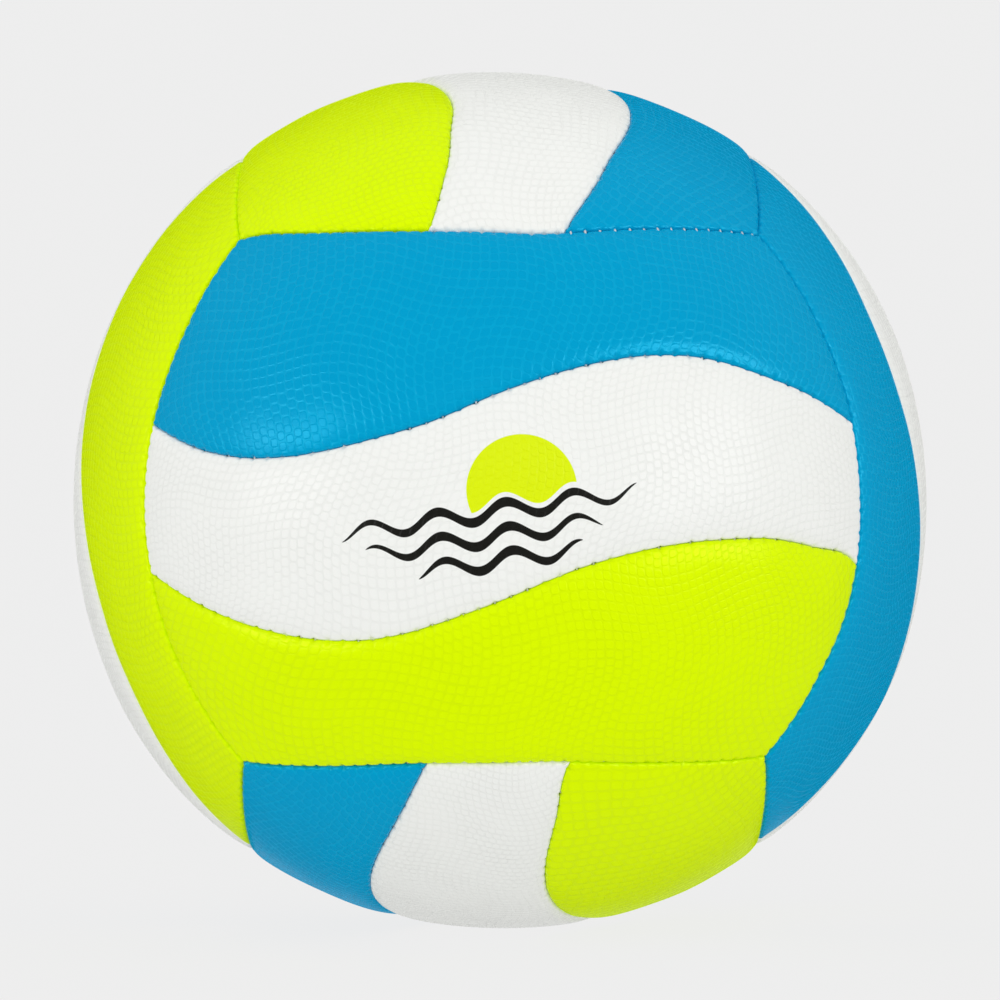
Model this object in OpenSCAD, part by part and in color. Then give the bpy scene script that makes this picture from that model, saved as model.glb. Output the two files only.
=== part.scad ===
// A machine-stitched beach volleyball. Eighteen padded panels are sewn along turned-in seams
// round a rubber bladder with a push-in valve. The seams between faces follow a cube's edges,
// each face is three strips with waving seams, and the strips of neighbouring faces lie crosswise.

/* [Ball] */
// Mean outside radius of the blown-up ball
ball_r = 105; // [95:0.5:115]
// How far the ball leans toward a cube, as a share of its radius
cube_share = 0.0256; // [0:0.0004:0.03]

/* [Seam layout] */
// Latitude that the seam between two strips waves about, in degrees
seam_lat = 11.4; // [10:0.1:13]
// How far that seam waves to each side, in degrees
seam_wave = 7.3; // [0:0.1:8]
// Steady fall of that seam, as a share of the longitude
seam_fall_share = 0.034; // [0:0.001:0.05]
// Turns of the wave in one round of the ball
seam_waves_share = 3.15; // [2.8:0.01:3.4]
// Shift of the wave along the strip, in degrees
seam_shift = 4.6; // [0:0.1:8]
// How far a face's long edge bows out at its middle, as a share of the radius
edge_bow_share = 0.0105; // [0:0.0005:0.02]
// How much more it bows out toward its ends, as a share of the radius
edge_end_share = 0.0235; // [0:0.0005:0.03]

/* [Panels] */
// Thickness of the embossed skin
skin_t = 0.9; // [0.7:0.05:1.2]
// Thickness of the foam behind the skin, at the ball's mean radius
foam_t = 3.4; // [3:0.1:5]
// Thickness of the woven lining behind the foam
lining_t = 0.6; // [0.4:0.05:1]
// Radius of the roll where the skin turns in at a seam
edge_r = 1.6; // [1.4:0.05:2.2]
// How far a panel's edges lie below its padded middle
puff_h = 0.7; // [0:0.05:1]
// Gap between the turned-in skins of two panels at a seam
seam_gap = 0.5; // [0.4:0.05:0.8]
// Film of glue between the layers of a panel
glue_t = 0.05; // [0.02:0.01:0.1]

/* [Thread] */
// Thickness of the sewing thread that closes the seams
thread_d = 0.6; // [0.4:0.05:0.7]

/* [Bladder] */
// Wall of the rubber bladder
bladder_t = 1; // [0.7:0.1:1.5]
// Gap between the bladder and the linings round it
bladder_gap = 0.2; // [0.1:0.05:0.5]

/* [Valve] */
// Radius of the valve's head, which shows in the cover
valve_head_r = 3.3; // [3:0.1:4]
// Height of the valve's head
valve_head_h = 1.6; // [1.4:0.1:2]
// How far the head lies below the cover's skin
valve_recess = 0.8; // [0.6:0.1:1]
// Radius of the valve's stem
valve_stem_r = 2.4; // [2:0.1:2.8]
// Length of the whole valve
valve_l = 15; // [14:0.5:18]
// Radius of the hole that takes the pump's needle
needle_r = 1.05; // [0.9:0.05:1.2]
// Depth of the needle's hole, down to the slit that closes by itself
needle_depth = 11; // [9:0.5:12]
// Clearance between the valve and the boss that it is pushed into
valve_fit = 0.05; // [0.02:0.01:0.1]
// Radius of the moulded boss that holds the valve
boss_r = 5; // [4.6:0.1:6]
// Length of the boss below the valve's end
boss_lip = 1.5; // [1:0.1:2.5]
// Radius of the air hole in the boss's end
air_r = 1.2; // [0.8:0.1:1.5]
// Radius of the disc that bonds the boss to the bladder
disc_r = 13; // [10:0.5:18]
// Thickness of that disc
disc_t = 1.4; // [1:0.1:2]
// Clearance of the holes that the valve and its boss pass through
hole_clear = 0.4; // [0.3:0.05:0.6]

/* [Hidden] */
// Each face has a name, the way along its strips, the way across them and the way out,
// then the names of the strips on the far, middle and near side across.
FACES = [
    ["front", [1, 0, 0], [0, 0, 1], [0, -1, 0], ["upper", "middle", "lower"]],
    ["right", [0, 0, 1], [0, -1, 0], [1, 0, 0], ["front", "middle", "rear"]],
    ["top", [0, -1, 0], [1, 0, 0], [0, 0, 1], ["right", "middle", "left"]],
    ["left", [0, 0, 1], [0, 1, 0], [-1, 0, 0], ["rear", "middle", "front"]],
    ["bottom", [0, -1, 0], [-1, 0, 0], [0, 0, -1], ["left", "middle", "right"]],
    ["back", [1, 0, 0], [0, 0, -1], [0, 1, 0], ["lower", "middle", "upper"]],
];
STRIPS = [1, 0, -1];
SKIN_COLOURS = [[0, 0.6, 0.83], [0.96, 0.96, 0.95], [0.86, 0.98, 0]];
function panel_name(face, strip) = str(face[0], "_", face[4][1 - strip]);
PANELS = [for (face = FACES, strip = STRIPS) panel_name(face, strip)];
$fn = 240;

// Bands that a panel is divided into along it, across it and round its edge
ALONG = 12;
ACROSS = 3;
ROLL_TURNS = [0, 45, 90];
ROLL_BANDS = len(ROLL_TURNS) - 1;
// Rounds of each search for a place on a seam
ROUNDS = 7;
// Height of a cube's corner over its middle planes, as a share of the ball's radius
corner_share = 1 / sqrt(3);
corner_lon = 45;
// Mean of the fourth powers that the cube-like form is measured from
form_mean_share = 0.55;
// How fast a panel falls away to its long edges and to its ends
fall_across_share = 4;
fall_along_share = 8;
// How near a cube's corner that fall ends, because three skins hold each other up there
fall_corner_share = 6;
// Depth of the skin's inner corner, and of the thread, as shares of the roll
hem_share = 0.2;
thread_seat_share = 0.72;
// Reach of the wedges that cut the linings, as a share of the ball's radius
wedge_share = 1.4;

roll_inset = seam_gap / 2 + edge_r;
lining_r = ball_r - skin_t - foam_t;
lining_in_r = lining_r - lining_t;
bladder_r = lining_in_r - bladder_gap;
bladder_in_r = bladder_r - bladder_t;
hem_r = lining_r;
face_r = ball_r * (1 - cube_share * (1 - form_mean_share));
valve_top = face_r - valve_recess;
valve_end = valve_top - valve_l;
boss_top = face_r - skin_t - hole_clear;
boss_end = valve_end - boss_lip;

// Seam layout, in degrees of longitude along a face's strips and latitude across them
function edge_height(lon) = let (s = lon / corner_lon)
    corner_share + (edge_bow_share + edge_end_share * s * s) * (1 - s * s);
function edge_lat(lon) = asin(edge_height(lon));
function strip_lat(lon) = seam_lat - seam_fall_share * lon
    + seam_wave * sin(seam_waves_share * (lon + seam_shift));
function low_lat(strip, lon) =
    strip == 1 ? strip_lat(lon) : strip == 0 ? -strip_lat(-lon) : -edge_lat(-lon);
function high_lat(strip, lon) =
    strip == 1 ? edge_lat(lon) : strip == 0 ? strip_lat(lon) : -strip_lat(-lon);
// Where a strip ends: on the long edge of the next face, which lies crosswise
function end_lon(lat, lon = corner_lon, rounds = ROUNDS) =
    rounds == 0 ? lon
    : end_lon(lat, acos(edge_height(atan(tan(lat) / sin(lon))) / cos(lat)), rounds - 1);

// A row is a share from -1 to 1, a distance in from the seam and a drop below the crown.
// A spot is where a row along and a row across meet, as longitude and latitude.
function degrees(length, r) = length / r * 180 / PI;
function spot_lat(strip, across, lon) = let (
        inset = degrees(across[1], ball_r),
        low = low_lat(strip, lon) + inset,
        high = high_lat(strip, lon) - inset
    ) low + (high - low) * (across[0] + 1) / 2;
function spot(strip, along, across, lon = 0, rounds = ROUNDS) =
    let (lat = spot_lat(strip, across, lon))
    rounds == 0 ? [lon, lat]
    : spot(strip, along, across,
        along[0] * (end_lon(lat) - degrees(along[1], ball_r * cos(lat))), rounds - 1);
function heading(face, place) =
    cos(place[1]) * sin(place[0]) * face[1] + sin(place[1]) * face[2]
    + cos(place[1]) * cos(place[0]) * face[3];

// Radius of the outer skin, padded in the middle of a panel and low at its seams
function form(way) = 1 - cube_share
    * (pow(way[0], 4) + pow(way[1], 4) + pow(way[2], 4) - form_mean_share);
function near_corner(way) =
    pow(abs(way[0] * way[1] * way[2]) / pow(corner_share, 3), fall_corner_share);
function crown_r(way, along, across) = ball_r * form(way) - puff_h * (1 - near_corner(way))
    * (1 - (1 - pow(abs(along[0]), fall_along_share)) * (1 - pow(abs(across[0]), fall_across_share)));
function skin_point(face, strip, along, across, depth) =
    let (way = heading(face, spot(strip, along, across)))
    (crown_r(way, along, across) - max(along[2], across[2]) - depth) * way;
function round_point(face, strip, along, across, r) =
    r * heading(face, spot(strip, along, across));

// Rows of a panel's outer skin, with its rolled edges, and of the space inside it
function roll_row(side, turn) =
    [side, seam_gap / 2 + edge_r * (1 - cos(turn)), edge_r * (1 - sin(turn))];
function middle_rows(bands) = [for (k = [1:bands - 1]) [2 * k / bands - 1, roll_inset, 0]];
function outer_rows(bands) = concat(
    [for (turn = ROLL_TURNS) roll_row(-1, turn)],
    middle_rows(bands),
    [for (k = [ROLL_BANDS:-1:0]) roll_row(1, ROLL_TURNS[k])]
);
function inner_rows(bands, inset) = concat(
    [[-1, inset, hem_share * edge_r]], middle_rows(bands), [[1, inset, hem_share * edge_r]]
);

// Faces of grids and of the walls round them, all clockwise from outside
function grid(first, na, nb) = [
    for (i = [0:na - 2], j = [0:nb - 2])
        let (a = first + i * nb + j, b = a + nb)
        each [[a, a + 1, b + 1], [a, b + 1, b]]
];
function turned(faces) = [for (f = faces) [f[0], f[2], f[1]]];
function rim(na, nb) = concat(
    [for (i = [0:na - 2]) [i, 0]],
    [for (j = [0:nb - 2]) [na - 1, j]],
    [for (i = [na - 1:-1:1]) [i, nb - 1]],
    [for (j = [nb - 1:-1:1]) [0, j]]
);
function rim_place(i, j, na, nb) =
    j == 0 ? i
    : i == na - 1 ? na - 1 + j
    : j == nb - 1 ? 2 * (na - 1) + nb - 1 - i
    : 2 * (na - 1) + 2 * (nb - 1) - j;
function wall(top, top_first, nb, foot_first) = let (count = len(top)) [
    for (k = [0:count - 1])
        let (
            m = (k + 1) % count,
            a = top_first + top[k][0] * nb + top[k][1],
            b = top_first + top[m][0] * nb + top[m][1]
        )
        each [[a, b, foot_first + m], [a, foot_first + m, foot_first + k]]
];
function cone_wall(top, nb, apex) = let (count = len(top)) [
    for (k = [0:count - 1])
        let (m = (k + 1) % count)
        [top[k][0] * nb + top[k][1], top[m][0] * nb + top[m][1], apex]
];
function hem(outer, outer_first, inner_first, na, nb) = let (count = len(outer)) [
    for (k = [0:count - 1])
        let (
            m = (k + 1) % count,
            a = inner_first + hem_place(outer[k], na, nb),
            b = inner_first + hem_place(outer[m], na, nb)
        )
        each concat(
            [[outer_first + k, outer_first + m, a]], a == b ? [] : [[outer_first + m, b, a]]
        )
];
function hem_place(corner, na, nb) = rim_place(
    min(max(corner[0] - ROLL_BANDS, 0), na - 1), min(max(corner[1] - ROLL_BANDS, 0), nb - 1),
    na, nb
);

// One panel's skin: embossed sheet, rolled over at its edges and turned in down to the lining
module skin(face, strip) {
    oa = outer_rows(ALONG);
    ob = outer_rows(ACROSS);
    ia = inner_rows(ALONG, seam_gap / 2 + skin_t);
    ib = inner_rows(ACROSS, seam_gap / 2 + skin_t);
    outer_rim = rim(len(oa), len(ob));
    inner_rim = rim(len(ia), len(ib));
    outer_foot = len(oa) * len(ob);
    inner_first = outer_foot + len(outer_rim);
    inner_foot = inner_first + len(ia) * len(ib);
    polyhedron(
        points = concat(
            [for (a = oa, b = ob) skin_point(face, strip, a, b, 0)],
            [for (c = outer_rim) round_point(face, strip, oa[c[0]], ob[c[1]], hem_r)],
            [for (a = ia, b = ib) skin_point(face, strip, a, b, skin_t)],
            [for (c = inner_rim) round_point(face, strip, ia[c[0]], ib[c[1]], hem_r)]
        ),
        faces = concat(
            grid(0, len(oa), len(ob)),
            wall(outer_rim, 0, len(ob), outer_foot),
            turned(grid(inner_first, len(ia), len(ib))),
            turned(wall(inner_rim, inner_first, len(ib), inner_foot)),
            hem(outer_rim, outer_foot, inner_foot, len(ia), len(ib))
        )
    );
}

module cover(face, strip) {
    color(SKIN_COLOURS[1 - strip])
        if (panel_name(face, strip) == "back_middle")
            difference() {
                skin(face, strip);
                valve_hole(valve_head_r + hole_clear);
            }
        else
            skin(face, strip);
}

// One panel's foam: fills its skin, down to the round face of the lining
module foam(face, strip) {
    rows_a = inner_rows(ALONG, seam_gap / 2 + skin_t + glue_t);
    rows_b = inner_rows(ACROSS, seam_gap / 2 + skin_t + glue_t);
    apex = len(rows_a) * len(rows_b);
    color([0.93, 0.92, 0.88])
        difference() {
            polyhedron(
                points = concat(
                    [for (a = rows_a, b = rows_b) skin_point(face, strip, a, b, skin_t + glue_t)],
                    [[0, 0, 0]]
                ),
                faces = concat(
                    grid(0, len(rows_a), len(rows_b)),
                    cone_wall(rim(len(rows_a), len(rows_b)), len(rows_b), apex)
                )
            );
            sphere(lining_r + glue_t);
            if (panel_name(face, strip) == "back_middle")
                valve_hole(boss_r + hole_clear);
        }
}

// Wedge from the ball's middle out through one panel, for cutting round layers
module wedge(face, strip) {
    rows_a = inner_rows(ALONG, seam_gap / 2 + skin_t + glue_t);
    rows_b = inner_rows(ACROSS, seam_gap / 2 + skin_t + glue_t);
    na = len(rows_a);
    nb = len(rows_b);
    edge = rim(na, nb);
    count = len(edge);
    polyhedron(
        points = concat(
            [for (c = edge) round_point(face, strip, rows_a[c[0]], rows_b[c[1]], wedge_share * ball_r)],
            [[0, 0, 0]]
        ),
        faces = concat(
            [for (k = [0:count - 1]) [k, (k + 1) % count, count]],
            [
                for (i = [0:na - 2])
                    let (low = i, high = rim_place(i, nb - 1, na, nb), next = rim_place(i + 1, nb - 1, na, nb))
                    each [[low, high, next], [low, next, low + 1]]
            ],
            [for (j = [1:nb - 2]) [0, rim_place(0, j, na, nb), rim_place(0, j + 1, na, nb)]],
            [for (j = [1:nb - 2]) [na - 1, rim_place(na - 1, j + 1, na, nb), rim_place(na - 1, j, na, nb)]]
        )
    );
}

// One panel's lining: woven cloth on the back of the foam
module lining(face, strip) {
    color([0.82, 0.83, 0.84])
        difference() {
            intersection() {
                difference() {
                    sphere(lining_r);
                    sphere(lining_in_r);
                }
                wedge(face, strip);
            }
            if (panel_name(face, strip) == "back_middle")
                valve_hole(boss_r + hole_clear);
        }
}

// The valve lies on the back face's axis, where z counts from the ball's middle
module on_valve_axis() {
    rotate([-90, 0, 0])
        children();
}

module valve_hole(r) {
    on_valve_axis()
        cylinder(r = r, h = ball_r * wedge_share);
}

// Rubber bladder, with the hole for the valve's boss
module bladder() {
    color([0.16, 0.16, 0.17])
        difference() {
            sphere(bladder_r);
            sphere(bladder_in_r);
            valve_hole(boss_r + glue_t);
        }
}

// Moulded boss: a tube bonded to the bladder's inside by a disc
module valve_boss() {
    color([0.22, 0.22, 0.23])
        on_valve_axis()
            difference() {
                union() {
                    translate([0, 0, boss_end])
                        cylinder(r = boss_r, h = boss_top - boss_end);
                    intersection() {
                        translate([0, 0, bladder_in_r - disc_r])
                            cylinder(r = disc_r, h = disc_r);
                        difference() {
                            sphere(bladder_in_r - glue_t);
                            sphere(bladder_in_r - glue_t - disc_t);
                        }
                    }
                }
                translate([0, 0, valve_end])
                    cylinder(r = valve_stem_r + valve_fit, h = valve_l);
                translate([0, 0, valve_top - valve_head_h - valve_fit])
                    cylinder(r = valve_head_r + valve_fit, h = valve_head_h);
                translate([0, 0, boss_end - boss_lip])
                    cylinder(r = air_r, h = valve_l);
            }
}

// Push-in valve with the needle's blind hole
module valve_insert() {
    color([0.1, 0.1, 0.1])
        on_valve_axis()
            rotate_extrude()
                polygon([
                    [0, valve_end],
                    [valve_stem_r, valve_end],
                    [valve_stem_r, valve_top - valve_head_h],
                    [valve_head_r, valve_top - valve_head_h],
                    [valve_head_r, valve_top],
                    [needle_r, valve_top],
                    [needle_r, valve_top - needle_depth],
                    [0, valve_top - needle_depth],
                ]);
}

// Sewing thread laid along the side of a strip, in the groove between two rolled edges
module seam_thread(face, strip, side) {
    across = [side, 0, thread_seat_share * edge_r];
    rows = [for (k = [0:ALONG]) [2 * k / ALONG - 1, roll_inset, 0]];
    line = [for (a = rows) skin_point(face, strip, a, across, 0)];
    last = len(line) - 1;
    color([0.85, 0.87, 0.86])
        polyhedron(
            points = [
                for (k = [0:last])
                    let (
                        out = line[k] / norm(line[k]),
                        run = line[min(k + 1, last)] - line[max(k - 1, 0)],
                        aside = cross(run, out) / norm(cross(run, out))
                    )
                    each [for (way = [out, aside, -out, -aside]) line[k] + way * thread_d / 2]
            ],
            faces = concat(
                [
                    for (k = [0:last - 1], m = [0:3])
                        let (a = 4 * k + m, b = 4 * k + (m + 1) % 4)
                        each [[a, b + 4, b], [a, a + 4, b + 4]]
                ],
                [[0, 1, 2], [0, 2, 3]],
                [[4 * last, 4 * last + 2, 4 * last + 1], [4 * last, 4 * last + 3, 4 * last + 2]]
            )
        );
}

module strip_seam_thread() {
    for (face = FACES) {
        seam_thread(face, 1, -1);
        seam_thread(face, -1, 1);
    }
}

module edge_seam_thread() {
    for (face = FACES) {
        seam_thread(face, 1, 1);
        seam_thread(face, -1, -1);
    }
}

for (face = FACES, strip = STRIPS) {
    cover(face, strip);
    foam(face, strip);
    lining(face, strip);
}
bladder();
valve_boss();
valve_insert();
strip_seam_thread();
edge_seam_thread();
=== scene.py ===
import math

import bpy
import numpy as np
from mathutils import Matrix, Vector
from mathutils.kdtree import KDTree


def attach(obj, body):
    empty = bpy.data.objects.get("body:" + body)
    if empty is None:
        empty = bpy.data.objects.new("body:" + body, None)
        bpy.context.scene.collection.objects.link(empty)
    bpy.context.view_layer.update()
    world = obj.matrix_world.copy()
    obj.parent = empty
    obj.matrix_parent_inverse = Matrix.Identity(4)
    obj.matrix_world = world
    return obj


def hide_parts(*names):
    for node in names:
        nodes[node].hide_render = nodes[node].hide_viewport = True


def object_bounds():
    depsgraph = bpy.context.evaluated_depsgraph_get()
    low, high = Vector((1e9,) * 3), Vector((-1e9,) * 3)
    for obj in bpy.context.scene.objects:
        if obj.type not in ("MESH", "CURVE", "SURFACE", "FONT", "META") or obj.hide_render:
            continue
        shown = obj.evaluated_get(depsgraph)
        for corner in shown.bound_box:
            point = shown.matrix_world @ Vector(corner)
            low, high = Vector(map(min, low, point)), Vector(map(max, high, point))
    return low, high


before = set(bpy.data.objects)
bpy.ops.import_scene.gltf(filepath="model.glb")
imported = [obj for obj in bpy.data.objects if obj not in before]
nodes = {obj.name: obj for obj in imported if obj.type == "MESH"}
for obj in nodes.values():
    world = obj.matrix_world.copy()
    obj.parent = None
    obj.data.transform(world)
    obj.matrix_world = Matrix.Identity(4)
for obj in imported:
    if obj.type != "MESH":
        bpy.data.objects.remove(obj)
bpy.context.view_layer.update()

# Bladder
# A black rubber ball, moulded in two halves and blown up inside the sewn case. Its skin is
# matt, a little dusty with talc, and keeps the mould's thin parting line round its middle.
bladder_black = (0.018, 0.018, 0.02, 1)
bladder_roughness = 0.55
bladder_gloss = 0.4
talc_grey = (0.16, 0.16, 0.155, 1)
talc_cover = 0.5
talc_roughness = 0.3
talc_patch = 0.02
talc_patch_edge = 0.45, 0.75
talc_grain = 0.0006
talc_grain_edge = 0.4, 0.8
talc_grain_h = 0.00003
parting_half_width = 0.0004
parting_h = 0.0002


class Term:
    """The output of a node, on which sums can be written."""

    def __init__(self, finish, socket):
        self.finish = finish
        self.socket = socket

    def worked(self, operation, *values):
        sockets = dict(enumerate(values or [self]))
        made = self.finish.node("Math", {"operation": operation}, sockets)
        return self.finish.term(made, 0)

    def __add__(self, other):
        return self.worked("ADD", self, other)

    def __radd__(self, other):
        return self.worked("ADD", other, self)

    def __sub__(self, other):
        return self.worked("SUBTRACT", self, other)

    def __rsub__(self, other):
        return self.worked("SUBTRACT", other, self)

    def __mul__(self, other):
        return self.worked("MULTIPLY", self, other)

    def __rmul__(self, other):
        return self.worked("MULTIPLY", other, self)

    def __truediv__(self, other):
        return self.worked("DIVIDE", self, other)

    def __pow__(self, other):
        return self.worked("POWER", self, other)

    def __abs__(self):
        return self.worked("ABSOLUTE", self)

    def sine(self):
        return self.worked("SINE", self)

    def fraction(self):
        return self.worked("FRACT", self)

    def most(self, other):
        return self.worked("MAXIMUM", self, other)

    def rise(self, start, end):
        """0 up to start, 1 from end on and smooth between; it falls where end is the lower."""
        settings = {"interpolation_type": "SMOOTHSTEP"}
        low, high = min(start, end), max(start, end)
        sockets = {"Value": self, "From Min": low, "From Max": high}
        step = self.finish.term(self.finish.node("MapRange", settings, sockets), "Result")
        return step if end > start else 1 - step


class Finish:
    """One material. Its shader's plain numbers are set at once, and the rest comes from nodes."""

    def __init__(self, name, **plain):
        self.material = bpy.data.materials.new(name)
        self.material.use_nodes = True
        self.tree = self.material.node_tree
        self.shader = self.tree.nodes["Principled BSDF"]
        for socket, value in plain.items():
            self.shader.inputs[socket.replace("_", " ")].default_value = value

    def node(self, kind, settings=None, sockets=None):
        made = self.tree.nodes.new("ShaderNode" + kind)
        for name, value in (settings or {}).items():
            setattr(made, name, value)
        for name, value in (sockets or {}).items():
            if isinstance(value, Term):
                self.tree.links.new(value.socket, made.inputs[name])
            else:
                made.inputs[name].default_value = value
        return made

    def term(self, made, output):
        return Term(self, made.outputs[output])

    def place(self):
        """Object coordinates, in metres."""
        return self.term(self.node("TexCoord"), "Object")

    def parts(self, vector):
        made = self.node("SeparateXYZ", None, {"Vector": vector})
        return [self.term(made, axis) for axis in "XYZ"]

    def joined(self, x, y, z=0):
        return self.term(self.node("CombineXYZ", None, {"X": x, "Y": y, "Z": z}), "Vector")

    def noise(self, vector, size, detail=2):
        """Noise from 0 to 1 whose blotches are about that size in metres."""
        sockets = {"Vector": vector, "Scale": 1 / size, "Detail": detail}
        return self.term(self.node("TexNoise", None, sockets), 0)

    def mix(self, share, first, second):
        settings = {"data_type": "RGBA"}
        made = self.node("Mix", settings, {"Factor": share, 6: first, 7: second})
        return self.term(made, 2)

    def ends(self, colour=None, roughness=None, height=None, glow=None):
        """Joins what changes over the surface to the shader; height is in metres."""
        found = {"Base Color": colour, "Roughness": roughness, "Emission Color": glow}
        if height is not None:
            bump = self.node("Bump", None, {"Height": height, "Distance": 1, "Strength": 1})
            found["Normal"] = self.term(bump, "Normal")
        for name, value in found.items():
            if value is not None:
                self.tree.links.new(value.socket, self.shader.inputs[name])
        return self.material


def dress(name, material):
    """Gives a node of the frame its finish."""
    nodes[name].data.materials.clear()
    nodes[name].data.materials.append(material)


butyl = Finish("bladder_rubber", Specular_IOR_Level=bladder_gloss)
at = butyl.place()
patches = butyl.noise(at, talc_patch, 4).rise(*talc_patch_edge)
dust = patches * butyl.noise(at, talc_grain).rise(*talc_grain_edge)
parting = abs(butyl.parts(at)[2]).rise(parting_half_width, 0)
dress("bladder", butyl.ends(
    butyl.mix(dust * talc_cover, bladder_black, talc_grey),
    bladder_roughness + dust * talc_roughness,
    parting * parting_h + butyl.noise(at, talc_grain) * talc_grain_h,
))

# Valve
# A boss of firmer rubber is bonded to the bladder's inside and stands out through the foam.
# The valve is pushed into it: a turned plug whose head shows in the cover, with a needle hole.
boss_black = (0.03, 0.03, 0.032, 1)
boss_gloss = 0.4
boss_roughness = 0.5
boss_pore_roughness = 0.2
boss_pore_h = 0.00003
valve_black = (0.012, 0.012, 0.013, 1)
valve_gloss = 0.45
valve_roughness = 0.4
valve_pore_roughness = 0.15
valve_pore_h = 0.00001
rubber_pore = 0.0003
moulding_ring = 0.0007
moulding_ring_h = 0.00002

moulded = Finish("boss_rubber", Specular_IOR_Level=boss_gloss)
pores = moulded.noise(moulded.place(), rubber_pore)
dress("valve_boss", moulded.ends(
    moulded.mix(pores, boss_black, valve_black),
    boss_roughness + pores * boss_pore_roughness,
    pores * boss_pore_h,
))

plug = Finish("valve_rubber", Specular_IOR_Level=valve_gloss)
at = plug.place()
x, _, z = plug.parts(at)
rings = ((x * x + z * z) ** 0.5 * (math.tau / moulding_ring)).sine()
pores = plug.noise(at, rubber_pore)
dress("valve_insert", plug.ends(
    plug.mix(pores, valve_black, boss_black),
    valve_roughness + pores * valve_pore_roughness,
    rings * moulding_ring_h + pores * valve_pore_h,
))

# Linings
# Each panel is backed with a woven cotton and polyester cloth, glued to its foam, which keeps
# the ball round. The seams follow a cube's edges, and each of its faces is three strips.
ball_r = 0.105
cube_share = 0.0256
form_mean_share = 0.55
# Places on the ball are degrees of longitude along a face's strips and of latitude across them
seam_lat = 11.4
seam_wave = 7.3
seam_fall_share = 0.034
seam_waves_share = 3.15
seam_shift = 4.6
edge_bow_share = 0.0105
edge_end_share = 0.0235
corner_share = 1 / math.sqrt(3)
corner_lon = 45
rounds = 8
skin_t = 0.0009
foam_t = 0.0034
lining_t = 0.0006
lining_r = ball_r - skin_t - foam_t
lining_inset = 0.0012
lining_rows = 27, 9
boss_hole_r = 0.0054
hole_sides = 96
yarn_pitch = 0.0006
weave_h = 0.0001
cloth_light = (0.62, 0.63, 0.64, 1)
cloth_dark = (0.4, 0.41, 0.43, 1)
cloth_roughness = 0.9
cloth_gloss = 0.2

# Where the sewing pulled the seams off their even places: degrees right and up of the middle of
# the front, how far the seam went right and up, and how far round the pull reaches, in metres
TUGS = (
    ((-12, 36), (0.0018, 0), 0.012),
    ((-11, 56), (-0.0014, 0), 0.012),
    ((12, 36), (-0.0018, -0.0006), 0.013),
    ((23, 50), (-0.0012, 0), 0.013),
    ((6, 36), (0, -0.0006), 0.012),
    ((-40, 36), (0, 0.0007), 0.008),
    ((12, -37), (-0.003, 0.0004), 0.012),
    ((-12, -37), (-0.001, 0.0004), 0.014),
    ((-51, 20), (0.0021, 0), 0.024),
    ((-53, 3), (0.0014, 0), 0.02),
    ((-52, -9), (0.0008, 0), 0.012),
    ((51, -19), (0.0015, 0), 0.022),
    ((49, -31), (0.0012, 0), 0.013),
    ((51, -8), (0, 0.0023), 0.009),
    ((67, 21), (-0.003, 0), 0.02),
    ((53, 2), (-0.0008, 0), 0.016),
    ((37, 15), (0, -0.0008), 0.012),
    ((-17, -17), (0, -0.0009), 0.018),
    ((29, -5), (0, -0.0009), 0.014),
    ((9, -9), (0, 0.0007), 0.012),
    ((-9, 10), (0, -0.0008), 0.011),
    ((46, -26), (-0.0016, 0), 0.017),
    ((-75, 24), (0.0022, 0), 0.026),
    ((-75, -2), (0.0022, 0), 0.026),
    ((-74, -26), (0.0018, 0), 0.026),
    ((76, 6), (-0.0018, 0), 0.026),
)

# Where the foam stands fuller or lower than even: place, height and reach, likewise
SWELLS = (
    ((-68, 79), 0.0011, 0.037),
    ((85, -25), 0.0007, 0.022),
    ((73, -73), 0.0006, 0.026),
    ((83, 47), -0.0006, 0.046),
    ((77, 70), -0.0004, 0.016),
    ((-81, -58), -0.0004, 0.015),
)

# Each face: the way along its strips, across them and out, and the names of its three strips
FACES = {
    "front": ((1, 0, 0), (0, 0, 1), (0, -1, 0), ("upper", "middle", "lower")),
    "right": ((0, 0, 1), (0, -1, 0), (1, 0, 0), ("front", "middle", "rear")),
    "top": ((0, -1, 0), (1, 0, 0), (0, 0, 1), ("right", "middle", "left")),
    "left": ((0, 0, 1), (0, 1, 0), (-1, 0, 0), ("rear", "middle", "front")),
    "bottom": ((0, -1, 0), (-1, 0, 0), (0, 0, -1), ("left", "middle", "right")),
    "back": ((1, 0, 0), (0, 0, -1), (0, 1, 0), ("lower", "middle", "upper")),
}
STRIPS = 1, 0, -1


def edge_height(lon):
    s = (lon / corner_lon) ** 2
    return corner_share + (edge_bow_share + edge_end_share * s) * (1 - s)


def edge_lat(lon):
    return np.degrees(np.arcsin(edge_height(lon)))


def strip_lat(lon):
    wave = np.sin(np.radians(seam_waves_share * (lon + seam_shift)))
    return seam_lat - seam_fall_share * lon + seam_wave * wave


def end_lon(lat):
    """Where a strip ends: on the long edge of the next face, which lies crosswise."""
    lon = np.full_like(lat, corner_lon)
    for _ in range(rounds):
        turn = np.degrees(np.arctan(np.tan(np.radians(lat)) / np.sin(np.radians(lon))))
        lon = np.degrees(np.arccos(edge_height(turn) / np.cos(np.radians(lat))))
    return lon


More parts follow.
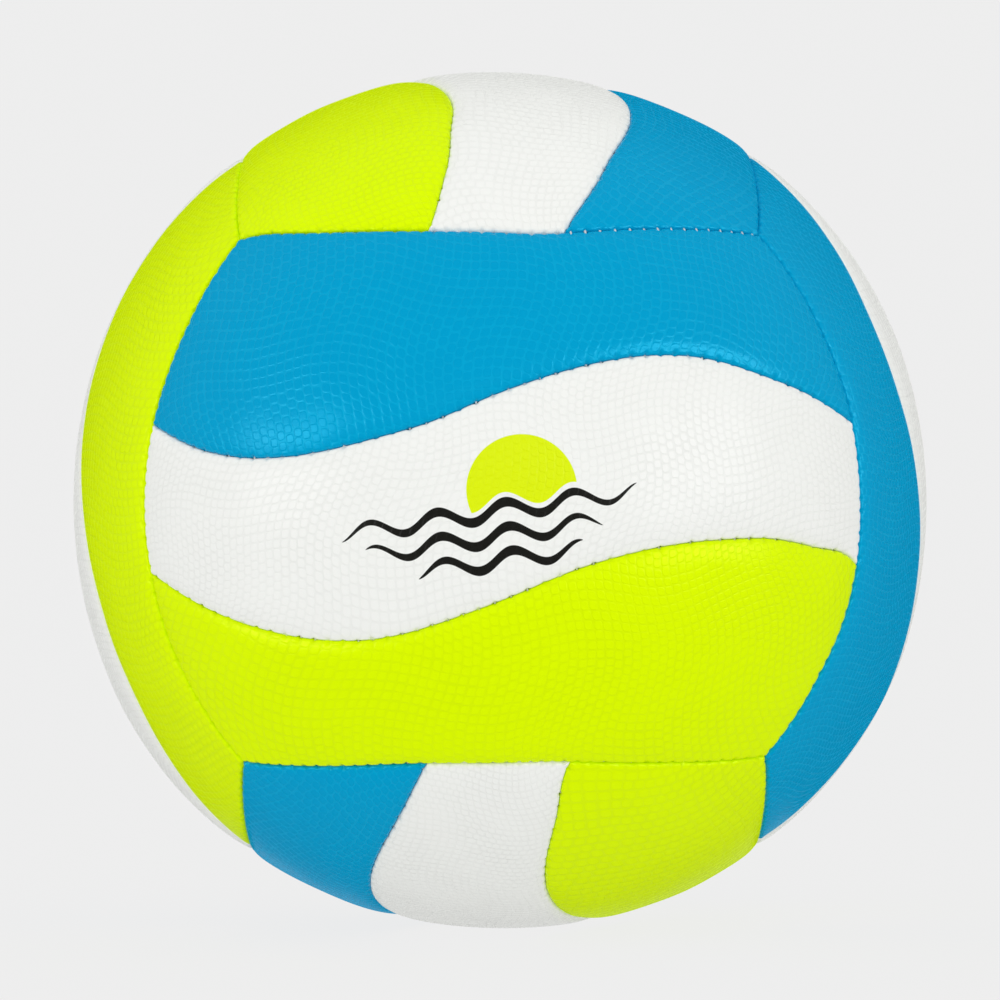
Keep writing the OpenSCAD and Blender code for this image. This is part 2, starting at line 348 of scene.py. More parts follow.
def headings(strip, along, across):
    """Unit vectors where rows along and across a strip meet, in its face's own axes.
    A row is a share from -1 to 1 and a distance in from the seam."""
    shape = len(along), len(across)
    share_a, inset_a = (np.broadcast_to(along[:, k, None], shape) for k in (0, 1))
    share_c, inset_c = (np.broadcast_to(across[None, :, k], shape) for k in (0, 1))
    lon = np.zeros(shape)
    for _ in range(rounds):
        inset = np.degrees(inset_c / ball_r)
        low = strip_lat(lon) if strip else -strip_lat(-lon)
        high = edge_lat(lon) if strip else strip_lat(lon)
        lat = low + inset + (high - low - 2 * inset) * (share_c + 1) / 2
        lon = share_a * (end_lon(lat) - np.degrees(inset_a / ball_r / np.cos(np.radians(lat))))
    lon, lat = np.radians(lon), np.radians(lat)
    return np.stack([np.cos(lat) * np.sin(lon), np.sin(lat), np.cos(lat) * np.cos(lon)], -1)


def form(way):
    """The ball leans a little toward a cube."""
    return 1 - cube_share * ((way ** 4).sum(-1) - form_mean_share)


def even_rows(count, inset):
    return np.array([[k, inset] for k in np.linspace(-1, 1, count)])


def edit(obj):
    """Takes one object into edit mode with nothing selected."""
    bpy.ops.object.select_all(action="DESELECT")
    bpy.context.view_layer.objects.active = obj
    obj.select_set(True)
    bpy.ops.object.mode_set(mode="EDIT")
    bpy.ops.mesh.select_all(action="DESELECT")


def grid(name, points):
    """A grid primitive whose corners go to points, an array of rows of places."""
    na, nb = points.shape[:2]
    bpy.ops.object.select_all(action="DESELECT")
    bpy.ops.mesh.primitive_grid_add(x_subdivisions=na - 1, y_subdivisions=nb - 1, size=1)
    made = bpy.context.object
    made.name = made.data.name = name
    made.data.vertices.foreach_set("co", points.transpose(1, 0, 2).ravel())
    made.data.update()
    return made


def rim(mesh):
    """Corners on the open border of a mesh."""
    edges = np.zeros(len(mesh.edges) * 2, int)
    mesh.edges.foreach_get("vertices", edges)
    uses = np.zeros(len(mesh.edges), int)
    sides = np.zeros(len(mesh.loops), int)
    mesh.loops.foreach_get("edge_index", sides)
    np.add.at(uses, sides, 1)
    return np.unique(edges.reshape(-1, 2)[uses == 1])


def deepen(obj, radius, border_only=False):
    """Extrudes a sheet, or its border alone, inward until the new corners lie at that radius."""
    count = len(obj.data.vertices)
    border = rim(obj.data)
    edit(obj)
    if border_only:
        bpy.ops.object.mode_set(mode="OBJECT")
        for index in border:
            obj.data.vertices[index].select = True
        bpy.ops.object.mode_set(mode="EDIT")
        bpy.ops.mesh.select_mode(type="VERT")
        bpy.ops.mesh.extrude_edges_move()
    else:
        bpy.ops.mesh.select_all(action="SELECT")
        bpy.ops.mesh.extrude_region_move()
    bpy.ops.object.mode_set(mode="OBJECT")
    for corner in obj.data.vertices[count:]:
        corner.co *= radius / corner.co.length
    obj.data.update()


def outward(obj):
    edit(obj)
    bpy.ops.mesh.select_all(action="SELECT")
    bpy.ops.mesh.normals_make_consistent(inside=False)
    bpy.ops.object.mode_set(mode="OBJECT")


def read_corners(mesh):
    corners = np.zeros(len(mesh.vertices) * 3)
    mesh.vertices.foreach_get("co", corners)
    return corners.reshape(-1, 3)


def lay_flat(obj, strip):
    """Stores where each corner lies on the flat sheet that the panel was cut from, in metres.
    The sheet touches the ball in the panel's middle, and keeps every length from there."""
    nothing = 1e-9
    way = read_corners(obj.data)
    way = way / np.linalg.norm(way, axis=1)[:, None]
    tilt = math.radians((float(edge_lat(0.0)) + seam_lat) / 2) * strip
    up = way[:, 1] * math.cos(tilt) - way[:, 2] * math.sin(tilt)
    out = way[:, 1] * math.sin(tilt) + way[:, 2] * math.cos(tilt)
    turn = np.arccos(np.clip(out, -1, 1))
    reach = ball_r * turn / np.maximum(np.hypot(way[:, 0], up), nothing)
    flat = np.stack([way[:, 0] * reach, up * reach, 0 * up], -1)
    spots = obj.data.attributes.new("flat_place", "FLOAT_VECTOR", "POINT")
    spots.data.foreach_set("vector", flat.ravel())


def read_flat(obj):
    spots = obj.data.attributes["flat_place"]
    flat = np.zeros(len(spots.data) * 3)
    spots.data.foreach_get("vector", flat)
    return flat.reshape(-1, 3)


def drill(obj, radius):
    """Cuts the valve's hole through a layer of the back panel."""
    bpy.ops.object.select_all(action="DESELECT")
    bpy.ops.mesh.primitive_cylinder_add(
        vertices=hole_sides, radius=radius, depth=ball_r / 4, location=(0, ball_r, 0),
        rotation=(math.pi / 2, 0, 0),
    )
    cutter = bpy.context.object
    bpy.context.view_layer.objects.active = obj
    cut = obj.modifiers.new("valve_hole", "BOOLEAN")
    cut.object = cutter
    bpy.ops.object.modifier_apply(modifier=cut.name)
    bpy.data.objects.remove(cutter)


def heading(right, up):
    """Unit vector to a place, in degrees right and up of the middle of the front."""
    right, up = math.radians(right), math.radians(up)
    level = math.cos(up)
    return np.array([level * math.sin(right), -level * math.cos(right), math.sin(up)])


def as_sewn(points):
    """Moves points in the ball's own axes to where they lie on the sewn and blown up ball."""
    radius = np.linalg.norm(points, axis=1)
    way = points / radius[:, None]
    outside = np.clip((radius - lining_r) / (ball_r - lining_r), 0, 1)
    moved = way.copy()
    for place, (right, up), reach in TUGS:
        middle, east = heading(*place), -heading(place[0] - 90, 0)
        share = np.exp(-(np.linalg.norm(way - middle, axis=1) * ball_r / reach) ** 2)
        moved += share[:, None] * (right * east + up * np.cross(middle, east)) / ball_r
    for place, height, reach in SWELLS:
        apart = np.linalg.norm(way - heading(*place), axis=1) * ball_r
        radius = radius + outside * height * np.exp(-(apart / reach) ** 2)
    return moved / np.linalg.norm(moved, axis=1)[:, None] * radius[:, None]


def panels(masters, layer):
    """Copies the two modelled strips to all six faces, each with its own mesh."""
    half_turn = Matrix.Rotation(math.pi, 4, "Z")
    made = {}
    for face, (along, across, out, names) in FACES.items():
        turn = Matrix((along, across, out)).transposed().to_4x4()
        for strip, part in zip(STRIPS, names):
            copy = masters[abs(strip)].copy()
            copy.data = masters[abs(strip)].data.copy()
            copy.name = copy.data.name = f"{face}_{part}_{layer}"
            copy.data.transform(turn @ half_turn if strip < 0 else turn)
            copy.data.vertices.foreach_set("co", as_sewn(read_corners(copy.data)).ravel())
            copy.data.update()
            bpy.context.scene.collection.objects.link(copy)
            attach(copy, "root")
            made[f"{face}_{part}"] = strip, copy
    for master in masters.values():
        bpy.data.objects.remove(master)
    return made


backing = Finish("lining_cloth", Roughness=cloth_roughness, Specular_IOR_Level=cloth_gloss)
spot = backing.node("Attribute", {"attribute_name": "flat_place"})
u, v, _ = backing.parts(backing.term(spot, "Vector"))
warp = (u * (math.tau / yarn_pitch)).sine()
weft = (v * (math.tau / yarn_pitch)).sine()
weave = warp * weft * 0.5 + 0.5
backing.ends(backing.mix(weave, cloth_dark, cloth_light), None, weave * weave_h)

masters = {}
for strip in (1, 0):
    rows = [even_rows(count, lining_inset) for count in lining_rows]
    sheet = grid("lining", headings(strip, *rows) * lining_r)
    lay_flat(sheet, strip)
    deepen(sheet, lining_r - lining_t)
    outward(sheet)
    sheet.data.materials.append(backing.material)
    masters[strip] = sheet
for name, (strip, sheet) in panels(masters, "lining_cloth").items():
    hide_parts(name + "_lining")
    cut = read_flat(sheet)
    if name == "back_middle":
        drill(sheet, boss_hole_r)

# Foams
# A soft sheet of closed-cell foam pads each panel. It is cut to the panel's outline and glued
# to the lining on its inside and to the skin on its outside, which it pushes out in a low crown.
glue_t = 0.00005
puff_h = 0.0007
fall_across_share = 10
fall_along_share = 24
fall_corner_share = 6
foam_inset = 0.0017
foam_rows = 41, 13
cell_size = 0.0005
cell_wall_edge = 0.2, 0.7
cell_wall_h = 0.0001
foam_light = (0.78, 0.76, 0.7, 1)
foam_dark = (0.6, 0.58, 0.52, 1)
foam_roughness = 0.95
foam_gloss = 0.15


def away_from_corners(way):
    """0 at a cube's corner, where three skins hold each other up, and 1 further off."""
    return 1 - (np.abs(way.prod(-1)) / corner_share ** 3) ** fall_corner_share


def crown(way, along, across):
    """Radius of the outer skin, padded in the middle of a panel and low at its seams."""
    middle_a = 1 - np.abs(along[:, 0, None]) ** fall_along_share
    middle_c = 1 - np.abs(across[None, :, 0]) ** fall_across_share
    return ball_r * form(way) - puff_h * away_from_corners(way) * (1 - middle_a * middle_c)


cells = Finish("foam", Roughness=foam_roughness, Specular_IOR_Level=foam_gloss)
walls = cells.term(cells.node("TexVoronoi", None, {
    "Vector": cells.place(), "Scale": 1 / cell_size,
}), "Distance").rise(*cell_wall_edge)
cells.ends(cells.mix(walls, foam_dark, foam_light), None, walls * cell_wall_h)

masters = {}
for strip in (1, 0):
    rows = [even_rows(count, foam_inset) for count in foam_rows]
    way = headings(strip, *rows)
    pad = grid("foam", way * (crown(way, *rows) - skin_t - glue_t)[..., None])
    deepen(pad, lining_r + glue_t)
    outward(pad)
    pad.data.materials.append(cells.material)
    masters[strip] = pad
for name, (strip, pad) in panels(masters, "foam_pad").items():
    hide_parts(name + "_foam")
    if name == "back_middle":
        drill(pad, boss_hole_r)

# Stitches
# The panels are sewn face to face, with the seam turned in, by a lockstitch of thick white
# thread. From outside only the short bars show that cross the slit at each pair of holes.
thread_r = 0.00026
thread_sides = 6
thread_smooth = math.radians(50)
bar_half = 0.00135
bar_rings = 7
bar_sag = 0.0003
bar_depth = 0.00125
bar_slack = 0.0002
closing_rise = 0.0005
run_depth = 0.0011
run_aside = 0.00132
strip_stitches = 50
end_stitches = {1: 15, 0: 11}
hole_wander = 0.00012
thread_white = (0.9, 0.9, 0.88, 1)
thread_shade = (0.6, 0.61, 0.61, 1)
thread_roughness = 0.7
thread_gloss = 0.3
twist_pitch = 0.0005
twist_h = 0.00005
draw = np.random.default_rng(18)


def stitch_rows(count):
    return np.array([[(2 * k + 1) / count - 1, 0] for k in range(count)])


def seam_line(strip, along, across):
    """Holes along one side of a strip, each with the way along the seam, in its face's axes."""
    way = headings(strip, along, across).reshape(-1, 3)
    run = np.gradient(way, axis=0)
    return way, run / np.linalg.norm(run, axis=1)[:, None]


def half_turned(line):
    """The same seam after half a turn of its face."""
    return [part * (-1, -1, 1) for part in line]


def end_line(end):
    """Holes along one end of a face, past its three strips. The third is the first one turned."""
    lines = (
        seam_line(1, end * side, stitch_rows(end_stitches[1])),
        seam_line(0, end * side, stitch_rows(end_stitches[0])),
        half_turned(seam_line(1, -end * side, stitch_rows(end_stitches[1]))),
    )
    return [np.concatenate(parts) for parts in zip(*lines)]


def on_ball(line, face):
    """A seam line in the ball's own axes."""
    axes = np.array(FACES[face][:3], float)
    return [part @ axes for part in line]


side = np.array([[1.0, 0.0]])
strip_line = seam_line(0, stitch_rows(strip_stitches), side)
strip_lines = strip_line, half_turned(strip_line)
end_lines = end_line(1), end_line(-1)
seams = {
    "strip_seam": [on_ball(line, face) for face in FACES for line in strip_lines],
    "edge_seam": [on_ball(line, face) for face in FACES for line in end_lines],
}
closing_seam = seams["edge_seam"][2 * list(FACES).index("top")]


def tube(centres, first, second):
    """Rings of thread round a line of centres, each in the plane of its first and second way."""
    turns = np.arange(thread_sides) * math.tau / thread_sides
    ring = np.cos(turns)[:, None, None] * first + np.sin(turns)[:, None, None] * second
    return (centres + thread_r * ring).transpose(1, 0, 2)


def sewn(name, lines):
    """Bars across each seam and the thread that runs along both its sides, as one mesh. The
    seam of the top's right strip was closed last, by hand, and its thread lies nearer the top."""
    corners, faces = [], []

    def add(rings):
        """Skins the rings of one thread and closes both its ends."""
        count, sides = rings.shape[:2]
        first = sum(len(c) for c in corners)
        corners.append(rings.reshape(-1, 3))
        for k in range(count - 1):
            for m in range(sides):
                a, b = first + k * sides + m, first + k * sides + (m + 1) % sides
                faces.append((a, b, b + sides, a + sides))
        faces.append([first + m for m in range(sides)][::-1])
        faces.append([first + (count - 1) * sides + m for m in range(sides)])

    reach = np.linspace(-1, 1, bar_rings)
    for line in lines:
        way, run = line
        by_hand = end_stitches[1] if line is closing_seam else 0
        aside = np.cross(run, way)
        low = ball_r * form(way) - puff_h * away_from_corners(way)
        for k in range(len(way)):
            deep = bar_depth - (closing_rise if k < by_hand else 0)
            drop = deep + bar_slack * draw.random() + bar_sag * reach ** 2
            centres = way[k] * (low[k] - drop)[:, None] + aside[k] * (bar_half * reach)[:, None]
            add(tube(centres, way[k], run[k]))
        for hand in (-1, 1):
            centres = way * (low - run_depth)[:, None] + hand * run_aside * aside
            add(tube(centres, aside, way))
    mesh = bpy.data.meshes.new(name + "_stitching")
    mesh.from_pydata(as_sewn(np.concatenate(corners)).tolist(), [], faces)
    made = bpy.data.objects.new(mesh.name, mesh)
    bpy.context.scene.collection.objects.link(made)
    outward(made)
    bpy.ops.object.shade_smooth_by_angle(angle=thread_smooth)
    return made


yarn = Finish("sewing_thread", Roughness=thread_roughness, Specular_IOR_Level=thread_gloss)
x, y, z = yarn.parts(yarn.place())
twist = ((x + y + z) * (math.tau / twist_pitch)).sine() * 0.5 + 0.5
yarn.ends(yarn.mix(twist, thread_shade, thread_white), None, twist * twist_h)
for name, lines in seams.items():
    stitching = sewn(name, lines)
    stitching.data.materials.append(yarn.material)
    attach(stitching, "root")
    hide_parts(name + "_thread")

# Covers
# Each panel's skin is a soft sheet of polyurethane, embossed like lizard hide, glossy at the
# tops of its scales. It is rolled over at its edges and turned in, so that two skins meet in
# a hairline slit, which every stitch draws open a little.
seam_gap = 0.00006
edge_r = 0.00095
roll_bands = 5
columns_per_stitch = 8, 6
hem_share = 0.2
inner_rows = 25, 9
skin_smooth = math.radians(60)
hole_along = 0.00045
hole_aside = 0.0007
hole_reach = 3 * hole_aside
hole_deep = 0.0005
hole_wide = 0.0003
hole_strength = 0.45, 1.1
wobble_h = 0.00008
wobble_share = (23, 31, 17)
valve_hole_r = 0.0037
scale_pitch = 0.00228
scale_squeeze = 0.93
scale_stray = 0.14
scale_squareness = 3.2
brick_size = 0.022
brick_edge = 0.4, 0.6
groove_share = 0.15
scale_h = 0.000055
scale_h_least = 0.5
pressed_reach = 0.002
pressed_share = 0.4
shear_most = 0.15
ripple_l = 0.045
ripple_h = 0.0017
bend_count = 7
bend_away = 0.026
bend_share = 0.24
tilt_size = 0.0035
tilt_h = 0.00004
pore_size = 0.0003
pore_h = 0.000004
pore_roughness = 0.03
blotch_size = 0.018
blotch_shade = 0.3
# How strongly the grooves take the deep colour: painted shade on white and lime, a painted
# highlight on blue
groove_painted_light = 0.2
groove_roughness = 0.31
scale_polish = 0.1
grain_turn = 0.15
grain_start = 0.5
bloom = 1.0
bloom_roughness = 0.3


def roll_row(hand, turn):
    """A row on the rolled edge of a skin: its side, how far in it lies, and how far down."""
    inset = seam_gap / 2 + edge_r * (1 - math.cos(turn))
    return hand, inset, edge_r * (1 - math.sin(turn))


def outer_rows(stitches, columns):
    """Rows of a skin's outside: its rolled edges, and a few at each stitch between them."""
    turns = np.linspace(0, math.pi / 2, roll_bands + 1)
    bands = stitches * columns
    middle = [(share, seam_gap / 2 + edge_r, 0) for share in np.linspace(-1, 1, bands + 1)[1:-1]]
    return np.array(
        [roll_row(-1, t) for t in turns] + middle + [roll_row(1, t) for t in turns[::-1]]
    )


def inner_row_set(count):
    """Rows of a skin's inside, whose outermost lie low, where the skin turns in."""
    inset = seam_gap / 2 + skin_t
    shares = np.linspace(-1, 1, count)
    return np.array([(s, inset, hem_share * edge_r if abs(s) == 1 else 0) for s in shares])


def skin_points(strip, along, across, depth):
    """Places on a skin at that depth, with its crown, its rolled edges and a slight wobble."""
    way = headings(strip, along, across)
    drop = np.maximum(along[:, 2, None], across[None, :, 2])
    wobble = np.prod([np.sin(k * way[..., n] + n) for n, k in enumerate(wobble_share)], 0)
    radius = crown(way, along, across) - drop - depth + wobble_h * wobble
    return way * radius[..., None]


# Every hole on the ball, turned to the front face's own axes, in which the skins are modelled
holes = KDTree(sum(len(way) for lines in seams.values() for way, run in lines))
hole_frames = []
to_front = np.array(FACES["front"][:3], float).T
for lines in seams.values():
    for way, run in lines:
        aside = np.cross(run, way)
        way = way + aside * draw.normal(0, hole_wander, len(way))[:, None] / ball_r
        strength = draw.uniform(*hole_strength, len(way))
        for place in zip(way @ to_front, run @ to_front, aside @ to_front, strength):
            holes.insert(place[0], len(hole_frames))
            hole_frames.append(place)
holes.balance()


def draw_in(points):
    """The thread draws a skin's edge down and aside at each of its holes."""
    flat = points.reshape(-1, 3)
    for place in flat:
        radius = np.linalg.norm(place)
        _, index, apart = holes.find(place / radius)
        if apart * ball_r > hole_reach:
            continue
        way, run, aside, strength = hole_frames[index]
        off = place / radius - way
        along, across = off @ run * ball_r, off @ aside * ball_r
        pull = strength * math.exp(-(along / hole_along) ** 2 - (across / hole_aside) ** 2)
        place -= place / radius * hole_deep * pull
        place += aside * math.copysign(hole_wide * pull, across)
    return flat.reshape(points.shape)


def edge_distance(points):
    """How far each corner of a skin's grid lies from the nearest seam, along the skin."""
    def run(rows):
        steps = np.linalg.norm(np.diff(rows, axis=0), axis=-1)
        start = np.concatenate([np.zeros((1, rows.shape[1])), np.cumsum(steps, 0)])
        return np.minimum(start, start[-1] - start)
    return np.minimum(run(points), run(points.transpose(1, 0, 2)).T)


masters = {}
for strip in (1, 0):
    rows = [
        outer_rows(stitches, columns)
        for stitches, columns in zip((strip_stitches, end_stitches[strip]), columns_per_stitch)
    ]
    points = draw_in(skin_points(strip, *rows, 0))
    sheet = grid("skin", points)
    near = sheet.data.attributes.new("seam_distance", "FLOAT", "POINT")
    near.data.foreach_set("value", edge_distance(points).T.ravel())
    deepen(sheet, lining_r, border_only=True)
    lay_flat(sheet, strip)
    inside = grid("inside", skin_points(strip, *map(inner_row_set, inner_rows), skin_t))
    deepen(inside, lining_r, border_only=True)
    sheet.select_set(True)
    bpy.context.view_layer.objects.active = sheet
    bpy.ops.object.join()
    edit(sheet)
    bpy.ops.mesh.select_mode(type="EDGE")
    bpy.ops.mesh.select_non_manifold()
    bpy.ops.mesh.bridge_edge_loops()
    bpy.ops.object.mode_set(mode="OBJECT")
    outward(sheet)
    bpy.ops.object.shade_smooth_by_angle(angle=skin_smooth)
    masters[strip] = sheet


# Each strip's kind, the colour of its scales, the colour painted into their grooves (painted
# shade on white and lime, a lighter painted highlight on blue), and its gloss and gloss tint
skin_colours = {
    1: ("blue", (0.0, 0.338, 0.618, 1), (0.0, 0.371, 0.651, 1), 0.34, (0.08, 0.8, 1.0, 1)),
    0: ("white", (0.89, 0.9, 0.87, 1), (0.84, 0.85, 0.82, 1), 0.08, (1, 1, 1, 1)),
    -1: ("lime", (0.73, 0.98, 0.0, 1), (0.68, 0.92, 0.0, 1), 0.22, (0.9, 1.0, 0.1, 1)),
}
print_middle = (-0.003, -0.0027)
print_lean = math.radians(8)
print_edge = 0.00006
print_roughness = 0.05
print_lime = (0.72, 0.88, 0.0, 1)
print_dark = (0.012, 0.012, 0.01, 1)
sun_middle = (0.008, 0.003)
sun_r = 0.0125
sun_gap = 0.0022
wave_l = 0.0155
wave_h = 0.0018
stroke_half = 0.0012
# Each wave's height, half its length and its shift
wave_rows = (-0.001, 0.034, 0), (-0.0065, 0.027, -0.002), (-0.012, 0.019, 0.001)


def scales(made, u, v):
    """1 on the flat tops of the scales, which are roundish and a little astray, 0 between them.
    Here they stand in squares and there, with every second row moved on, like bricks."""
    row = (u / scale_pitch + 0.5 - scale_stray / 2).worked("FLOOR")
    moved = made.noise(made.joined(u, v), brick_size, 0).rise(*brick_edge)
    u, v = u / scale_pitch, v * scale_squeeze / scale_pitch + (row * 0.5).fraction() * moved
    settings = {"voronoi_dimensions": "2D", "distance": "MINKOWSKI"}
    sockets = {
        "Vector": made.joined(u, v), "Scale": 1,
        "Randomness": scale_stray, "Exponent": scale_squareness,
    }
    out = made.term(made.node("TexVoronoi", settings, sockets), "Distance")
    return out.rise(0.5, 0.5 - groove_share)


def printed(made, tint):
    """The print on the front panel: a sun that sinks behind three waves."""
    x, _, z = made.parts(made.place())
    lean_c, lean_s = math.cos(print_lean), math.sin(print_lean)
    x, z = x - print_middle[0], z - print_middle[1]
    x, z = x * lean_c + z * lean_s, z * lean_c - x * lean_s
    swell = (x * (math.tau / wave_l)).sine() * wave_h
    sun_x, sun_z = x - sun_middle[0], z - sun_middle[1]
    sun = ((sun_x * sun_x + sun_z * sun_z) ** 0.5).rise(sun_r + print_edge, sun_r - print_edge)
    above = (z - swell - wave_rows[0][0]).rise(sun_gap - print_edge, sun_gap + print_edge)
    tint = made.mix(sun * above, tint, print_lime)
    ink = sun * above
    for height, half, shift in wave_rows:
        away = (x - shift) / half
        stroke = (1 - away * away).most(0) ** 0.5 * stroke_half
        line = (abs(z - swell - height) - stroke).rise(0, -2 * print_edge)
        tint = made.mix(line, tint, print_dark)
        ink = ink.most(line)
    return tint, ink


def hide(name, colour, deep, gloss, gloss_tint, with_print=False):
    """The embossed skin in one colour, with rows of scales that flow over the panel. Its grooves
    are painted towards the deep colour: painted shade on white and lime, a painted highlight on
    blue.
    """
    made = Finish(
        name, Specular_IOR_Level=gloss, Specular_Tint=gloss_tint,
        Sheen_Weight=bloom, Sheen_Roughness=bloom_roughness, Sheen_Tint=colour,
    )
    flat = made.term(made.node("Attribute", {"attribute_name": "flat_place"}), "Vector")
    seam = made.term(made.node("Attribute", {"attribute_name": "seam_distance"}), "Fac")
    u, v, _ = made.parts(flat)
    dome = scales(made, u, v)
    pores = made.noise(flat, pore_size, 3)
    blotches = made.noise(flat, blotch_size)
    kept = pressed_share + (1 - pressed_share) * seam.rise(0, pressed_reach)
    grown = kept * (scale_h_least + blotches)
    height = dome * grown * scale_h + made.noise(flat, tilt_size, 0) * tilt_h + pores * pore_h
    # The grooves are painted towards deep, as shade on white and lime and as a highlight on blue;
    # the blotches add random tone all over
    painted_groove_light_and_blotches = (1 - dome) * (groove_painted_light + blotches) + blotches * blotch_shade
    tint = made.mix(painted_groove_light_and_blotches, colour, deep)
    rough = groove_roughness - dome * scale_polish + pores * pore_roughness
    if with_print:
        tint, ink = printed(made, tint)
        rough = rough + ink * print_roughness
    made.ends(tint, rough, height)
    return made.material


def bent(flat):
    """Where the grain's rows run: each panel is cut from a hide whose rows bend and shear."""
    place = flat[:, 0] + 1j * flat[:, 1]
    half_l, half_w = (np.ptp(flat[:, axis]) / 2 + bend_away for axis in (0, 1))
    grain = place * np.exp(1j * draw.normal(0, grain_turn))
    for k in range(bend_count):
        side = (k + draw.random()) * math.tau / bend_count
        middle = half_l * math.cos(side) + 1j * half_w * math.sin(side)
        pull = bend_share * bend_away * np.exp(1j * draw.uniform(0, math.tau))
        grain += pull * np.log(1 - place / middle)
    along, across = (
        way + ripple_h * np.sin(other * math.tau / ripple_l + draw.uniform(0, math.tau))
        for way, other in ((grain.real, grain.imag), (grain.imag, grain.real))
    )
    across += draw.uniform(-shear_most, shear_most) * along
    start = (*draw.uniform(-grain_start, grain_start, 2), 0)
    return np.stack([along, across, flat[:, 2]], -1) + start


skins = {strip: hide("skin_" + kind, *rest) for strip, (kind, *rest) in skin_colours.items()}
printed_skin = hide("skin_white_printed", *skin_colours[0][1:], with_print=True)
for name, (strip, cover) in panels(masters, "skin").items():
    grain = bent(read_flat(cover))
    cover.data.attributes["flat_place"].data.foreach_set("vector", grain.ravel())
    cover.data.materials.append(printed_skin if name == "front_middle" else skins[strip])
    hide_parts(name + "_cover")
    if name == "back_middle":
        drill(cover, valve_hole_r)

# Studio
# A pale floor that curves up behind the ball, a large soft light over the lens, a soft box
# level with the ball at each side, and a long lens.
floor_half = 6.0
curve_r = 2.0
curve_steps = 24
wall_h = 4.0
paper_grey = 0.8
backdrop_grey = 0.857
backdrop_glow = 0.95
card_size = 0.9, 1.7
card_away = 1.15
card_low = 0.5
card_glow = 0.42
sky_grey = 0.97
front_away = 3.0
front_rise = math.radians(12)
front_size = 1.6, 1.0
front_power = 10
box_away = 1.9
left_side = math.radians(-53)
left_rise = math.radians(-2)
left_size = 0.9, 1.2
left_power = 26
right_side = math.radians(50)
right_rise = math.radians(5)
right_size = 1.2, 0.9
right_power = 26
# The lens: its distance in ball radii, and the ball's outline, turn and middle in the picture
view_r_share = 12.63
outline_px = 431.4
picture_px = 1000
sensor = 0.036
view_end = 100
ball_turn = (-0.658, 0.227, 0.611)
centre_px = (500.02, 501.16)

floor_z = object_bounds()[0].z
bpy.ops.object.select_all(action="DESELECT")
bpy.ops.mesh.primitive_plane_add(size=2 * floor_half, location=(0, 0, floor_z))
floor = bpy.context.object
floor.name = "studio_floor"
edit(floor)
bpy.ops.mesh.select_mode(type="EDGE")
bpy.ops.object.mode_set(mode="OBJECT")
for edge in floor.data.edges:
    edge.select = all(floor.data.vertices[v].co.y > 0 for v in edge.vertices)
bpy.ops.object.mode_set(mode="EDIT")
bpy.ops.mesh.spin(
    steps=curve_steps, angle=-math.pi / 2,
    center=(0, floor_half, floor_z + curve_r), axis=(1, 0, 0),
)
bpy.ops.mesh.extrude_region_move(TRANSFORM_OT_translate={"value": (0, 0, wall_h)})
bpy.ops.object.mode_set(mode="OBJECT")
bpy.ops.object.shade_smooth()
paper = Finish("studio_paper")
paper.tree.nodes.remove(paper.shader)
matt = paper.node("BsdfDiffuse", None, {"Color": (paper_grey,) * 3 + (1,)})
glow = paper.node("Emission", None, {"Color": (backdrop_grey,) * 3 + (1,), "Strength": 1.0})
both = paper.node("MixShader", None, {
    0: backdrop_glow, 1: paper.term(matt, 0), 2: paper.term(glow, 0),
})
paper.tree.links.new(both.outputs[0], paper.tree.nodes["Material Output"].inputs["Surface"])
floor.data.materials.append(paper.material)
floor.visible_glossy = False

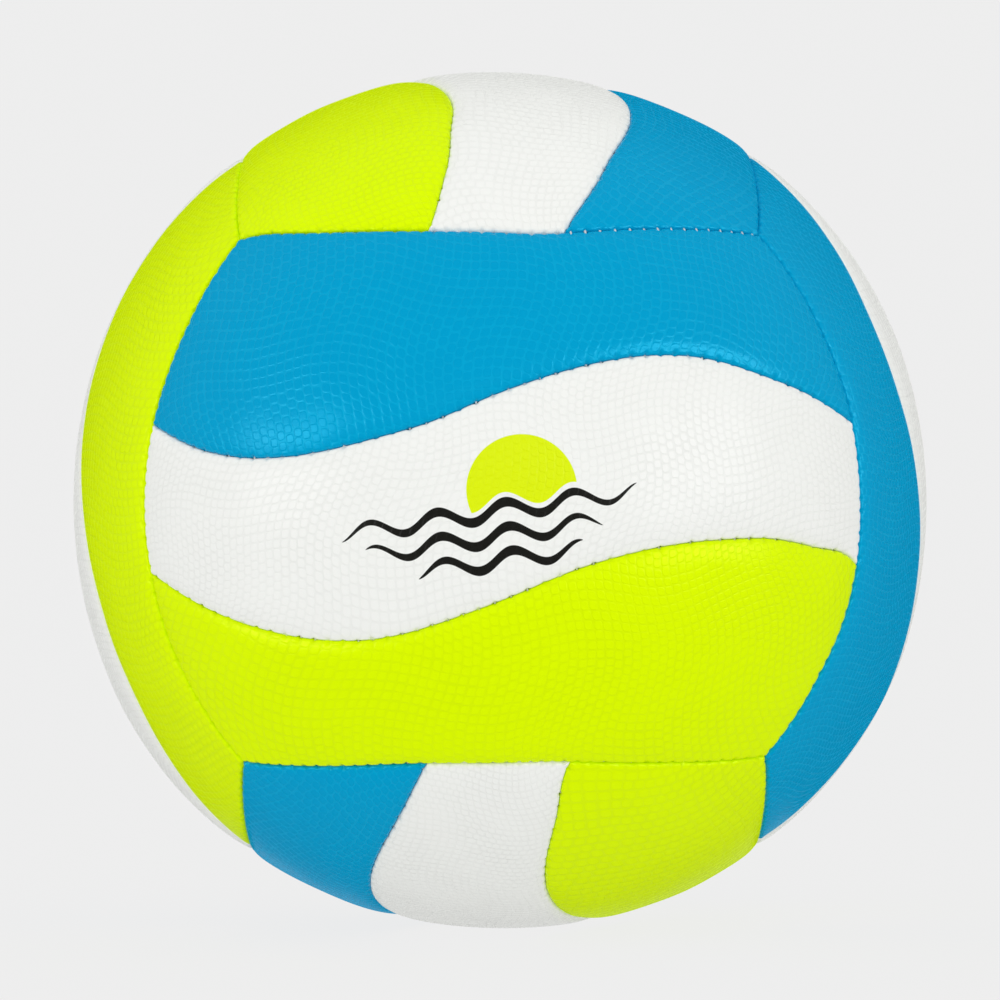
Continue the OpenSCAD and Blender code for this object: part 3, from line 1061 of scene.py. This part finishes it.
# A pale card lies behind and below, out of view, and the ball's underside mirrors it
bpy.ops.object.select_all(action="DESELECT")
bpy.ops.mesh.primitive_plane_add(size=1, location=(0, card_away, -card_low))
card = bpy.context.object
card.name = "studio_card"
card.scale = (*card_size, 1)
pale = Finish(
    "card_shine", Base_Color=(0, 0, 0, 1), Specular_IOR_Level=0, Emission_Strength=card_glow,
)
_, y, _ = pale.parts(pale.place())
pale.ends(glow=pale.mix(y.rise(-0.5, 0.5), (0, 0, 0, 1), (1, 1, 1, 1)))
pale.material.cycles.emission_sampling = "NONE"
card.data.materials.append(pale.material)
card.visible_camera = card.visible_diffuse = card.visible_shadow = False

world = bpy.data.worlds.new("studio")
bpy.context.scene.world = world
world.use_nodes = True
sky = world.node_tree.nodes["Background"]
sky.inputs["Color"].default_value = (sky_grey,) * 3 + (1,)
world.cycles_visibility.glossy = False


def soft_light(name, side, rise, away, size, power):
    """An area light that faces the ball."""
    light = bpy.data.lights.new(name, "AREA")
    light.shape = "RECTANGLE"
    light.size, light.size_y = size
    light.energy = power
    made = bpy.data.objects.new(name, light)
    bpy.context.scene.collection.objects.link(made)
    way = Vector((
        math.cos(rise) * math.sin(side), -math.cos(rise) * math.cos(side), math.sin(rise),
    ))
    made.location = way * away
    made.rotation_mode = "QUATERNION"
    made.rotation_quaternion = (-way).to_track_quat("-Z", "Y")
    return made


front = soft_light("front_light", 0, front_rise, front_away, front_size, front_power)
front.visible_glossy = False
left_box = soft_light("left_box", left_side, left_rise, box_away, left_size, left_power)
right_box = soft_light("right_box", right_side, right_rise, box_away, right_size, right_power)
left_box.visible_diffuse = right_box.visible_diffuse = False

turn = np.radians(ball_turn)
angle = float(np.linalg.norm(turn))
axis = Vector((turn[0], -turn[2], turn[1])) / angle
camera = bpy.data.objects.new("camera", bpy.data.cameras.new("camera"))
bpy.context.scene.collection.objects.link(camera)
bpy.context.scene.camera = camera
upright = Matrix.Rotation(math.pi / 2, 4, "X")
orbit = Matrix.Rotation(-angle, 4, axis)
camera.matrix_world = orbit @ Matrix.Translation((0, -view_r_share * ball_r, 0)) @ upright
camera.data.sensor_width = 1000 * sensor
focal_px = outline_px * math.sqrt(view_r_share ** 2 - 1)
camera.data.lens = 1000 * sensor * focal_px / picture_px
camera.data.shift_x = (picture_px / 2 - centre_px[0]) / picture_px
camera.data.shift_y = (centre_px[1] - picture_px / 2) / picture_px
camera.data.clip_end = view_end
bpy.context.scene.view_settings.view_transform = "Standard"
